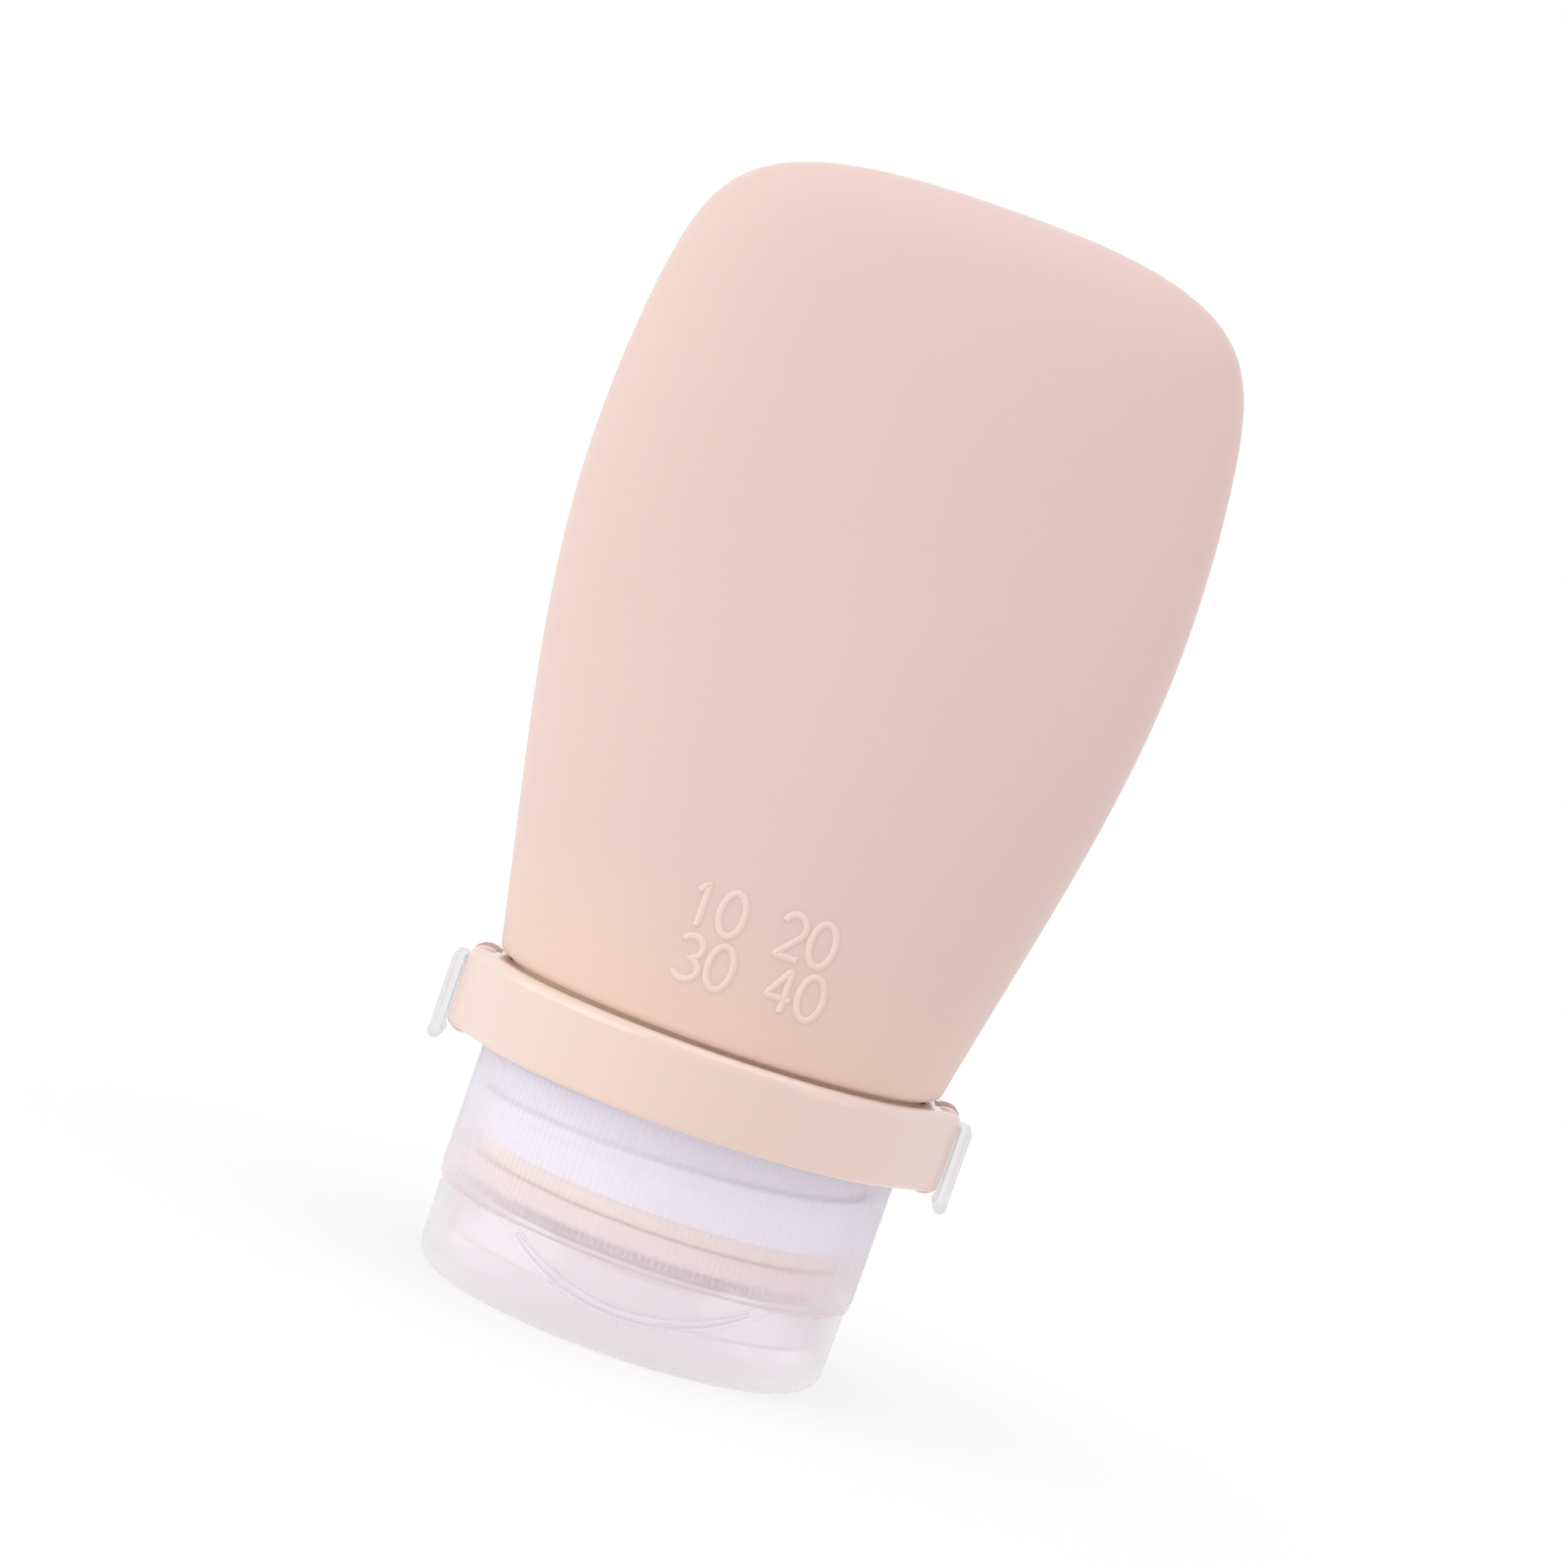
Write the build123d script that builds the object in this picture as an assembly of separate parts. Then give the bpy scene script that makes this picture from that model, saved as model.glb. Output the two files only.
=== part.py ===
import math
import os

from build123d import *

os.makedirs("parts", exist_ok=True)

# A soft squeeze bottle for travel, standing on its closed flip lid, soft end up.
# Millimetres. Z is up and the origin is the centre of the lid's flat outer face.
# The thumb scoop is at the front, -Y, the lid's hinge is at the back, and the two
# carry loops lie along X.

# Clearances
face_gap = 0.2        # between flat faces of pieces that part
turn_gap = 0.3        # beside a piece that turns or swings
running_gap = 0.05    # round a pin in its bore
slip_gap = 0.1        # soft neck in its sleeve, gasket and valve on their walls
overrun = 1.0         # how far a cut runs past a face
sink = 0.15           # how deep a ridge is rooted in its wall

# Flip lid
parting_height = 7.8
lid_step = 0.25
lid_draft = 0.15
lid_wall = 1.25
lid_floor = 1.4
lid_edge_radius = 2.0
lid_inner_edge_radius = 0.9
lid_rim_radius = 0.3
plug_wall = 1.3
plug_depth = 0.8
scoop_width = 21.4
scoop_depth = 3.3
scoop_rim = 1.0
scoop_step = 0.5

# Lid hinge
hinge_knuckle_radius = 1.2
hinge_bite = 0.2
hinge_pin_radius = 0.8
hinge_barrel_length = 6.0
hinge_lug_length = 2.0
hinge_web_height = 3.0
hinge_lug_height = 4.2

# Cap
cap_radius = 19.1
cap_wall = 1.3
cap_edge_radius = 0.3
cap_depth = 16.2
deck_thickness = 1.4
spout_wall = 1.2
spout_length = 2.2
spigot_wall = 1.3
spigot_length = 3.8
spigot_gap = 0.4
seat_wall = 0.9
seat_height = 3.2

# Thread
thread_lead = 4.0
thread_height = 0.8
thread_base = 1.5
thread_tip = 0.8
thread_runout = 1.0
male_turns = 2.25
female_turns = 2.0

# Valve and seals
valve_flange_width = 2.8
valve_flange_thickness = 1.2
valve_collar_wall = 1.1
valve_drop = 1.3
valve_skin = 0.7
valve_dish = 0.9
slit_width = 0.2
retainer_wall = 2.5
retainer_thickness = 1.4
gasket_width = 6.3
gasket_thickness = 1.4
gasket_margin = 0.6

# Soft body
wall = 2.0
neck_wall = 2.0
body_height = 76.0
body_half_width = 27.65
body_end_half_width = 23.8
body_end_half_depth = 8.4
body_base_step = 0.85
body_base_edge_radius = 0.5
lip_thickness = 1.6

# Neck sleeve
sleeve_wall = 1.4
sleeve_flange_thickness = 1.8

# Collar with the carry loops
collar_height = 7.2
collar_gap = 0.4
collar_wall = 1.8
collar_top_edge_radius = 0.9
collar_bottom_edge_radius = 0.5
ledge_thickness = 1.6
pocket_wall = 0.7
ear_reach = 1.5
ear_rise = 0.2
ear_drop = 0.45
ear_root = 1.3
ear_top_radius = 1.3
ear_bottom_radius = 1.35
ear_thickness = 1.0
ear_edge_radius = 0.3
ear_corner_radius = 1.5
socket_floor = 0.35
loop_width = 3.8

# Gates of the carry loops
gate_thickness = 1.0
gate_edge_radius = 0.4
gate_top_radius = 0.3
gate_bead_radius = 0.6
gate_tail = 1.2
gate_arm_thickness = 0.7
gate_arm_radius = 1.0
gate_pin_radius = 0.5

# Levels, from the surface that the lid stands on upwards
lid_rim = parting_height - face_gap
deck_top = parting_height + deck_thickness
gasket_low = deck_top + face_gap
lip_low = gasket_low + gasket_thickness + face_gap
sleeve_low = lip_low + lip_thickness
skirt_top = parting_height + cap_depth
ledge_low = skirt_top + turn_gap
ledge_top = ledge_low + ledge_thickness
flange_low = ledge_top + turn_gap
body_low = flange_low + sleeve_flange_thickness
collar_top = body_low - turn_gap
collar_low = collar_top - collar_height

# Radii, from the cap inwards
lid_radius = cap_radius - lid_step
skirt_bore = cap_radius - cap_wall
female_crest = skirt_bore - thread_height
male_core = female_crest - turn_gap
male_crest = skirt_bore - turn_gap
sleeve_bore = male_core - sleeve_wall
neck_radius = sleeve_bore - slip_gap
neck_bore = neck_radius - neck_wall
lid_bore = lid_radius - lid_wall
spigot_radius = lid_bore - spigot_gap
collar_bore = cap_radius + collar_gap
collar_radius = collar_bore + collar_wall
body_base_radius = collar_radius - body_base_step
flange_radius = collar_bore - turn_gap
ledge_bore = male_crest + thread_height
gasket_radius = skirt_bore - gasket_margin
seat_outer = gasket_radius - gasket_width - face_gap
seat_radius = seat_outer - seat_wall
spout_radius = seat_radius - valve_flange_width
plug_radius = spout_radius - turn_gap

# Hinge axes
hinge_y = cap_radius - hinge_bite + hinge_knuckle_radius
hinge_z = parting_height
ear_outer = collar_radius + ear_reach
ear_top = collar_top + ear_rise
ear_low = collar_low - ear_drop
gate_axis_x = ear_outer - ear_top_radius
gate_axis_z = ear_top - ear_top_radius
gate_inner = ear_outer + turn_gap
gate_outer = gate_inner + gate_thickness
gate_bead_z = ear_low - gate_tail + gate_bead_radius

# The soft body, in shares of its height: where it is widest, how briskly it flares
# and thins, where it starts to close, and how squarely each way it closes.
widest_share = 0.6
flare_share = 1.25
thinning_share = 1.35
closing_share = 0.5
width_closing_shares = (11.5, 0.38)
depth_closing_shares = (7.8, 0.46)
wall_shares = [0.0, 0.07, 0.15, 0.24, 0.33, 0.42, 0.51, 0.6]
end_shares = [0.63, 0.68, 0.755, 0.82, 0.87, 0.91, 0.94, 0.962, 0.979, 0.991, 0.9985]


def tube(outer, inner, low, high):
    height = high - low
    solid = Cylinder(outer, height, align=(Align.CENTER, Align.CENTER, Align.MIN))
    hole = Cylinder(inner, height, align=(Align.CENTER, Align.CENTER, Align.MIN))
    return Pos(0, 0, low) * (solid - hole)


def rod_x(radius, low, high, y, z):
    rod = Cylinder(radius, high - low, align=(Align.CENTER, Align.CENTER, Align.MIN))
    return Pos(low, y, z) * Rot(0, 90, 0) * rod


def rod_y(radius, low, high, x, z):
    rod = Cylinder(radius, high - low, align=(Align.CENTER, Align.CENTER, Align.MIN))
    return Pos(x, low, z) * Rot(-90, 0, 0) * rod


def block(x_low, x_high, y_low, y_high, z_low, z_high):
    corner = (Align.MIN, Align.MIN, Align.MIN)
    solid = Box(x_high - x_low, y_high - y_low, z_high - z_low, align=corner)
    return Pos(x_low, y_low, z_low) * solid


def turned(*corners):
    face = Plane.XZ * make_face(Polyline(*corners, close=True))
    return revolve(face, Axis.Z)


def plate_y(outline, y_low, y_high):
    face = Plane.XZ * outline
    return Pos(0, y_low, 0) * extrude(face, y_high - y_low, dir=(0, 1, 0))


def save(shape, node):
    solids = shape.solids()
    whole = solids[0] if len(solids) == 1 else Compound(solids)
    export_step(whole, "parts/" + node + ".step")
    print(node, "solids", len(solids), "volume", round(shape.volume, 1))


def closing(share, closing_shares):
    squareness, roundness = closing_shares
    closed = max(0, share - closing_share) / (1 - closing_share)
    return (1 - closed ** squareness) ** roundness


def body_section(share, inset, low, top):
    base = body_base_radius - inset
    half_width = body_half_width - inset
    end_half_width = body_end_half_width - inset
    end_half_depth = body_end_half_depth - inset
    flare = min(1, share / widest_share)
    taper = max(0, share - widest_share) / (1 - widest_share)
    widened = flare_share * flare + (3 - 2 * flare_share) * flare ** 2 + (flare_share - 2) * flare ** 3
    across = base + (half_width - base) * widened + (end_half_width - half_width) * taper ** 2
    deep = end_half_depth + (base - end_half_depth) * (1 - share) ** thinning_share
    across = across * closing(share, width_closing_shares)
    deep = deep * closing(share, depth_closing_shares)
    return Pos(0, 0, low + (top - low) * share) * Ellipse(across, deep).faces()[0]


def soft_shape(inset, low, top):
    wall_part = loft([body_section(share, inset, low, top) for share in wall_shares])
    upper_shares = wall_shares[-1:] + end_shares
    end_part = loft([body_section(share, inset, low, top) for share in upper_shares])
    return wall_part + end_part


def thread_ridge(root, crest, start, turns):
    inward = crest < root
    rooted = root + sink if inward else root - sink
    base = thread_base / 2
    tip = thread_tip / 2
    corners = [(rooted, 0, -base), (crest, 0, -tip), (crest, 0, tip), (rooted, 0, base)]
    section = make_face(Polyline(*corners, close=True))
    path = Helix(thread_lead, thread_lead * turns, root)
    return Pos(0, 0, start) * sweep(section, path=path, is_frenet=True)


male_start = sleeve_low + thread_runout
female_start = male_start + (thread_base + thread_tip) / 2 + face_gap


def squeeze_body():
    crown = body_low + body_height
    outside = soft_shape(0, body_low, crown)
    base_edge = outside.edges().group_by(Axis.Z)[0]
    outside = fillet(base_edge, body_base_edge_radius)
    neck = tube(neck_radius, neck_bore, lip_low, body_low + wall)
    lip = tube(male_core - slip_gap, neck_bore, lip_low, sleeve_low)
    inside = soft_shape(wall, body_low + wall, crown - wall)
    throat = Pos(0, 0, lip_low) * Cylinder(
        neck_bore, body_low + wall + overrun - lip_low, align=(Align.CENTER, Align.CENTER, Align.MIN)
    )
    print("filled to the brim, ml:", round((inside.volume + throat.volume) / 1000, 1))
    return outside + neck + lip - inside - throat


def neck_sleeve():
    barrel = tube(male_core, sleeve_bore, sleeve_low, body_low)
    flange = tube(flange_radius, sleeve_bore, flange_low, body_low)
    ridge = thread_ridge(male_core, male_crest, male_start, male_turns)
    return barrel + flange + ridge


def ear(side):
    centre_x = side * (ear_outer - ear_root - ear_reach + ear_outer) / 2
    width = ear_root + ear_reach
    height = ear_top - ear_low
    outline = Rectangle(width, height)
    outline = fillet(outline.vertices().group_by(Axis.Y)[-1], ear_top_radius)
    outline = fillet(outline.vertices().group_by(Axis.Y)[0], ear_bottom_radius)
    outline = Pos(centre_x, (ear_top + ear_low) / 2) * outline
    near = loop_width / 2
    cheek = plate_y(outline, near, near + ear_thickness)
    cheek = fillet(cheek.faces().sort_by(Axis.Y)[-1].edges(), ear_edge_radius)
    return cheek + mirror(cheek, Plane.XZ)


def pin_sockets(side):
    end = loop_width / 2 + ear_thickness - socket_floor
    return rod_y(gate_pin_radius + running_gap, -end, end, side * gate_axis_x, gate_axis_z)


def collar_outline():
    half = loop_width / 2 + ear_thickness
    touch = math.atan2(half, ear_outer) + math.acos(collar_radius / math.hypot(ear_outer, half))
    touch_x = collar_radius * math.cos(touch)
    touch_y = collar_radius * math.sin(touch)
    back = ThreePointArc((touch_x, touch_y), (0, collar_radius), (-touch_x, touch_y))
    left = Polyline((-touch_x, touch_y), (-ear_outer, half), (-ear_outer, -half), (-touch_x, -touch_y))
    front = ThreePointArc((-touch_x, -touch_y), (0, -collar_radius), (touch_x, -touch_y))
    right = Polyline((touch_x, -touch_y), (ear_outer, -half), (ear_outer, half), (touch_x, touch_y))
    outline = make_face([back, left, front, right])
    by_x = outline.vertices().group_by(Axis.X)
    return fillet(by_x[0] + by_x[-1], ear_corner_radius)


def loop_collar():
    band = Pos(0, 0, collar_low) * extrude(collar_outline(), collar_height, dir=(0, 0, 1))
    band = fillet(band.faces().sort_by(Axis.Z)[-1].edges(), collar_top_edge_radius)
    band = fillet(band.faces().sort_by(Axis.Z)[0].edges(), collar_bottom_edge_radius)
    bore = Cylinder(collar_bore, collar_height, align=(Align.CENTER, Align.CENTER, Align.MIN))
    band = band - Pos(0, 0, collar_low) * bore
    ledge = tube(collar_bore + sink, ledge_bore, ledge_low, ledge_top)
    half = loop_width / 2
    pocket_x = collar_bore + pocket_wall
    reach = ear_outer + overrun
    for side in (-1, 1):
        near, far = sorted((side * pocket_x, side * reach))
        band = band - block(near, far, -half, half, collar_low - overrun, collar_top + overrun)
        band = band + ear(side) - pin_sockets(side)
    return band + ledge


def loop_gate(side):
    half = loop_width / 2 + ear_thickness
    near, far = sorted((side * gate_inner, side * gate_outer))
    plate = block(near, far, -half, half, gate_bead_z, gate_axis_z)
    outer = plate.faces().sort_by(Axis.X)[-1 if side > 0 else 0]
    plate = fillet(outer.edges().filter_by(Axis.Z), gate_edge_radius)
    top = plate.faces().sort_by(Axis.Z)[-1]
    plate = fillet(top.edges().sort_by(Axis.X)[-1 if side > 0 else 0], gate_top_radius)
    bead_x = side * (gate_outer - gate_bead_radius)
    gate = plate + rod_y(gate_bead_radius, -half, half, bead_x, gate_bead_z)
    axis_x = side * gate_axis_x
    arm_far = loop_width / 2 - face_gap
    arm_near = arm_far - gate_arm_thickness
    pin_end = half - socket_floor - face_gap
    inward, outward = sorted((axis_x, side * (gate_inner + sink)))
    for low, high, start, end in (
        (arm_near, arm_far, arm_near, pin_end),
        (-arm_far, -arm_near, -pin_end, -arm_near),
    ):
        arm = block(inward, outward, low, high, gate_axis_z - gate_arm_radius, gate_axis_z)
        knuckle = rod_y(gate_arm_radius, low, high, axis_x, gate_axis_z)
        pin = rod_y(gate_pin_radius, start, end, axis_x, gate_axis_z)
        gate = gate + arm + knuckle + pin
    return gate


def hinge_lug(side):
    near = hinge_barrel_length / 2 + face_gap
    far = near + hinge_lug_length
    low, high = sorted((side * near, side * far))
    foot = skirt_bore + cap_wall / 2
    tip = hinge_y + hinge_knuckle_radius
    top = hinge_z + hinge_lug_height
    step = hinge_z + hinge_knuckle_radius
    corners = [(foot, hinge_z), (tip, hinge_z), (hinge_y, step), (cap_radius, top), (foot, top)]
    face = Plane.YZ * make_face(Polyline(*corners, close=True))
    web = Pos(low, 0, 0) * extrude(face, high - low, dir=(1, 0, 0))
    knuckle = rod_x(hinge_knuckle_radius, low, high, hinge_y, hinge_z)
    return web + knuckle


def cap_shell():
    skirt = tube(cap_radius, skirt_bore, parting_height, skirt_top)
    deck = tube(skirt_bore + sink, spout_radius, parting_height, deck_top)
    spout = tube(spout_radius + spout_wall, spout_radius, parting_height - spout_length, deck_top)
    spigot_inner = spigot_radius - spigot_wall
    spigot = tube(spigot_radius, spigot_inner, parting_height - spigot_length, deck_top)
    seat = tube(seat_outer, seat_radius, parting_height + sink, deck_top + seat_height)
    rim = skirt.edges().filter_by(GeomType.CIRCLE).group_by(SortBy.RADIUS)[-1]
    skirt = fillet(rim.group_by(Axis.Z)[0], cap_edge_radius)
    half = hinge_barrel_length / 2 + face_gap
    relief = rod_x(hinge_knuckle_radius + turn_gap, -half, half, hinge_y, hinge_z)
    shell = skirt - relief + deck + spout + spigot + seat
    shell = shell + hinge_lug(-1) + hinge_lug(1)
    end = half + hinge_lug_length + overrun
    shell = shell - rod_x(hinge_pin_radius + running_gap, -end, end, hinge_y, hinge_z)
    return shell + thread_ridge(skirt_bore, female_crest, female_start, female_turns)


def scoop_tool(widening):
    chord = scoop_width / 2
    radius = (chord * chord + scoop_depth * scoop_depth) / (2 * scoop_depth)
    centre_z = lid_rim - scoop_depth + radius
    return rod_y(radius + widening, -lid_radius - overrun, -spigot_radius / 2, 0, centre_z)


def flip_lid():
    base_radius = lid_radius - lid_draft
    cup = turned((0, 0), (base_radius, 0), (lid_radius, lid_rim), (0, lid_rim))
    floor_edge = cup.edges().filter_by(GeomType.CIRCLE).group_by(Axis.Z)[0]
    cup = fillet(floor_edge, lid_edge_radius)
    rim_edge = cup.edges().filter_by(GeomType.CIRCLE).group_by(Axis.Z)[-1]
    cup = fillet(rim_edge, lid_rim_radius)
    hollow = Cylinder(lid_bore, lid_rim, align=(Align.CENTER, Align.CENTER, Align.MIN))
    hollow_edge = hollow.edges().filter_by(GeomType.CIRCLE).group_by(Axis.Z)[0]
    hollow = fillet(hollow_edge, lid_inner_edge_radius)
    cup = cup - Pos(0, 0, lid_floor) * hollow
    plug_tip = parting_height - spout_length + plug_depth
    plug = tube(plug_radius, plug_radius - plug_wall, lid_floor - sink, plug_tip)
    rim_zone = tube(lid_radius + overrun, lid_radius - scoop_step, 0, parting_height)
    dish = scoop_tool(scoop_rim) & rim_zone
    cup = cup - scoop_tool(0) - dish
    half = hinge_barrel_length / 2
    web_low = hinge_z - hinge_web_height
    web = block(-half, half, lid_bore + lid_wall / 2, hinge_y, web_low, lid_rim)
    web_edge = web.edges().filter_by(Axis.X).sort_by(Axis.Z)[:2].sort_by(Axis.Y)[-1]
    web = chamfer(web_edge, hinge_knuckle_radius)
    barrel = rod_x(hinge_knuckle_radius, -half, half, hinge_y, hinge_z)
    pin_end = half + face_gap + hinge_lug_length
    pin = rod_x(hinge_pin_radius, -pin_end, pin_end, hinge_y, hinge_z)
    return cup + plug + web + barrel + pin


def slit_valve():
    flange_top = deck_top + valve_flange_thickness
    tube_radius = spout_radius - slip_gap
    tube_inner = tube_radius - valve_collar_wall
    valve_low = deck_top - valve_drop
    flange = tube(seat_radius - slip_gap, tube_inner, deck_top, flange_top)
    collar = tube(tube_radius, tube_inner, valve_low, deck_top)
    edge = tube_inner + sink
    rise = valve_low + valve_dish
    skin_low = valve_low + valve_skin
    lower = ThreePointArc((-edge, valve_low), (0, rise), (edge, valve_low))
    upper = ThreePointArc((edge, skin_low), (0, rise + valve_skin), (-edge, skin_low))
    sides = [Line(lower @ 1, upper @ 0), Line(upper @ 1, lower @ 0)]
    half = make_face([lower, upper] + sides) & Pos(edge, 0) * Rectangle(2 * edge, 2 * flange_top)
    skin = revolve(Plane.XZ * half, Axis.Z)
    valve = flange + collar + skin
    reach = tube_inner * math.sqrt(0.5)
    cut = block(-reach, reach, -slit_width / 2, slit_width / 2, valve_low - overrun, flange_top + overrun)
    return valve - cut - Rot(0, 0, 90) * cut


def valve_retainer():
    low = deck_top + valve_flange_thickness
    outer = seat_radius - running_gap
    return tube(outer, outer - retainer_wall, low, low + retainer_thickness)


def neck_gasket():
    inner = gasket_radius - gasket_width
    return tube(gasket_radius, inner, gasket_low, gasket_low + gasket_thickness)


save(squeeze_body(), "squeeze_body")
save(neck_sleeve(), "neck_sleeve")
save(loop_collar(), "loop_collar")
save(loop_gate(-1), "gate_left")
save(loop_gate(1), "gate_right")
save(cap_shell(), "cap_shell")
save(flip_lid(), "flip_lid")
save(slit_valve(), "slit_valve")
save(valve_retainer(), "valve_retainer")
save(neck_gasket(), "neck_gasket")
print("body low", round(body_low, 3), "crown", round(body_low + body_height, 3))
print("collar", round(collar_low, 3), round(collar_top, 3))
print("hinge y z", round(hinge_y, 3), round(hinge_z, 3))
print("gate axis", round(gate_axis_x, 3), round(gate_axis_z, 3), "outer", round(gate_outer, 3))
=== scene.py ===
import math
import bpy
from mathutils import Matrix, Vector


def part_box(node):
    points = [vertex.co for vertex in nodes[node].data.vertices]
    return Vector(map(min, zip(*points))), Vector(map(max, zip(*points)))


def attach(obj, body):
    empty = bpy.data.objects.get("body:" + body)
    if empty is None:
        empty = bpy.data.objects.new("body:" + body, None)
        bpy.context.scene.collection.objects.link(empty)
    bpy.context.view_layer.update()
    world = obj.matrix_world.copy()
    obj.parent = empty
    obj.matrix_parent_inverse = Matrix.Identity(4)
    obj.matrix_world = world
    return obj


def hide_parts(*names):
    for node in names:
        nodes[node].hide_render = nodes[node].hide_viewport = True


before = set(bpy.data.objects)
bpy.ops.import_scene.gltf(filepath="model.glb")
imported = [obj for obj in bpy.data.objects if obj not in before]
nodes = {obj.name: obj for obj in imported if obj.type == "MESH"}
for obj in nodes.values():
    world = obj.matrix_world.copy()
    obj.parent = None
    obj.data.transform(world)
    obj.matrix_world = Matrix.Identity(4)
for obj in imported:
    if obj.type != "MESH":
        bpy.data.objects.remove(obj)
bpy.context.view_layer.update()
mm = 0.001


# The camera, at the photograph's angle: a little above the bottle, and turned so that
# the bottle's soft end leans to the right.
camera = {
    "distance": 370 * mm,
    "height": 66.6 * mm,
    "aim": Vector((-1.66, 0, 49.9)) * mm,
    "turn": math.radians(19.3),
    "lens": 96.5,
    "sensor": 36,
    "nearest": 10 * mm,
    "farthest": 20,
}


def addObject(name, data):
    made = bpy.data.objects.new(name, data)
    bpy.context.scene.collection.objects.link(made)
    return made


def makeCamera():
    data = bpy.data.cameras.new("photoCamera")
    data.lens = camera["lens"]
    data.sensor_width = camera["sensor"]
    data.clip_start = camera["nearest"]
    data.clip_end = camera["farthest"]
    made = addObject("photoCamera", data)
    aim = camera["aim"]
    place = Vector((aim.x, -camera["distance"], camera["height"]))
    look = (aim - place).to_track_quat("-Z", "Y").to_matrix()
    spin = Matrix.Rotation(camera["turn"], 3, "Z")
    made.matrix_world = Matrix.Translation(place) @ (look @ spin).to_4x4()
    bpy.context.scene.camera = made


makeCamera()
print("camera placed")


# Helpers for node trees, and the one group that all the moulded finishes share: the fine
# grain of a moulded face, and a soft cloudiness.

def addNode(tree, kind, settings={}, values={}, links={}):
    node = tree.nodes.new(kind)
    for title, value in settings.items():
        setattr(node, title, value)
    for title, value in values.items():
        node.inputs[title].default_value = value
    for title, source in links.items():
        tree.links.new(source, node.inputs[title])
    return node


def larger(tree, first, second):
    node = addNode(tree, "ShaderNodeMath", {"operation": "MAXIMUM"}, links={0: first, 1: second})
    return node.outputs["Value"]


mouldedGrainDetail = {"grainDetail": 3, "cloudDetail": 2, "cloudRoughness": 0.4}


def makeMouldedGrain():
    detail = mouldedGrainDetail
    group = bpy.data.node_groups.new("mouldedGrain", "ShaderNodeTree")
    group.interface.new_socket(name="Vector", in_out="INPUT", socket_type="NodeSocketVector")
    for title in ("Grain Scale", "Cloud Scale"):
        group.interface.new_socket(name=title, in_out="INPUT", socket_type="NodeSocketFloat")
    for title in ("Height", "Cloud"):
        group.interface.new_socket(name=title, in_out="OUTPUT", socket_type="NodeSocketFloat")
    start = addNode(group, "NodeGroupInput").outputs
    grain = addNode(
        group, "ShaderNodeTexNoise", values={"Detail": detail["grainDetail"]},
        links={"Vector": start["Vector"], "Scale": start["Grain Scale"]})
    cloud = addNode(
        group, "ShaderNodeTexNoise",
        values={"Detail": detail["cloudDetail"], "Roughness": detail["cloudRoughness"]},
        links={"Vector": start["Vector"], "Scale": start["Cloud Scale"]})
    addNode(group, "NodeGroupOutput", links={"Height": grain.outputs["Fac"], "Cloud": cloud.outputs["Fac"]})
    return group


mouldedGrain = makeMouldedGrain()


def srgb(red, green, blue):
    def linear(level):
        level = level / 255
        return level / 12.92 if level <= 0.04045 else ((level + 0.055) / 1.055) ** 2.4
    return (linear(red), linear(green), linear(blue), 1)


def addPaintedLightZone(tree, coords, colour, zone):
    # lays a zone of painted light over the rest, by height in the piece
    full, faded, zoneColour = zone
    split = addNode(tree, "ShaderNodeSeparateXYZ", links={"Vector": coords})
    share = addNode(
        tree, "ShaderNodeMapRange", {"interpolation_type": "SMOOTHSTEP"},
        {"From Min": full, "From Max": faded, "To Min": 1, "To Max": 0}, {"Value": split.outputs["Z"]})
    shade = addNode(
        tree, "ShaderNodeMix", {"data_type": "RGBA"}, {"B": zoneColour},
        {"Factor": share.outputs["Result"], "A": colour})
    return shade.outputs["Result"]


def dimFallingLight(tree, shader, seen, falling):
    # light that falls through the clear plastic is dimmed less than what is seen through it
    rays = addNode(tree, "ShaderNodeLightPath").outputs
    light = larger(tree, rays["Is Shadow Ray"], rays["Is Diffuse Ray"])
    cover = addNode(
        tree, "ShaderNodeMapRange", values={"To Min": seen, "To Max": falling}, links={"Value": light})
    tree.links.new(cover.outputs["Result"], shader.inputs["Alpha"])


def makeMaterial(name, look):
    material = bpy.data.materials.new(name)
    material.use_nodes = True
    tree = material.node_tree
    shader = tree.nodes["Principled BSDF"]
    for title, value in look["constants"].items():
        shader.inputs[title].default_value = value
    coords = addNode(tree, "ShaderNodeTexCoord").outputs["Object"]
    grain = addNode(
        tree, "ShaderNodeGroup", {"node_tree": mouldedGrain},
        {"Grain Scale": look["grainScale"], "Cloud Scale": look["cloudScale"]}, {"Vector": coords}).outputs
    tint = addNode(
        tree, "ShaderNodeMix", {"data_type": "RGBA"},
        {"A": look["colour"], "B": look["cloudColour"]}, {"Factor": grain["Cloud"]})
    colour = tint.outputs["Result"]
    for zone in look.get("paintedLightZones", []):
        colour = addPaintedLightZone(tree, coords, colour, zone)
    tree.links.new(colour, shader.inputs["Base Color"])
    smoothest, roughest = look["roughness"]
    rough = addNode(
        tree, "ShaderNodeMapRange", values={"To Min": smoothest, "To Max": roughest},
        links={"Value": grain["Cloud"]})
    tree.links.new(rough.outputs["Result"], shader.inputs["Roughness"])
    bump = addNode(
        tree, "ShaderNodeBump", values={"Strength": look["bumpStrength"], "Distance": look["bumpDistance"]},
        links={"Height": grain["Height"]})
    tree.links.new(bump.outputs["Normal"], shader.inputs["Normal"])
    if "lightAlpha" in look:
        dimFallingLight(tree, shader, look["constants"]["Alpha"], look["lightAlpha"])
    return material
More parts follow.
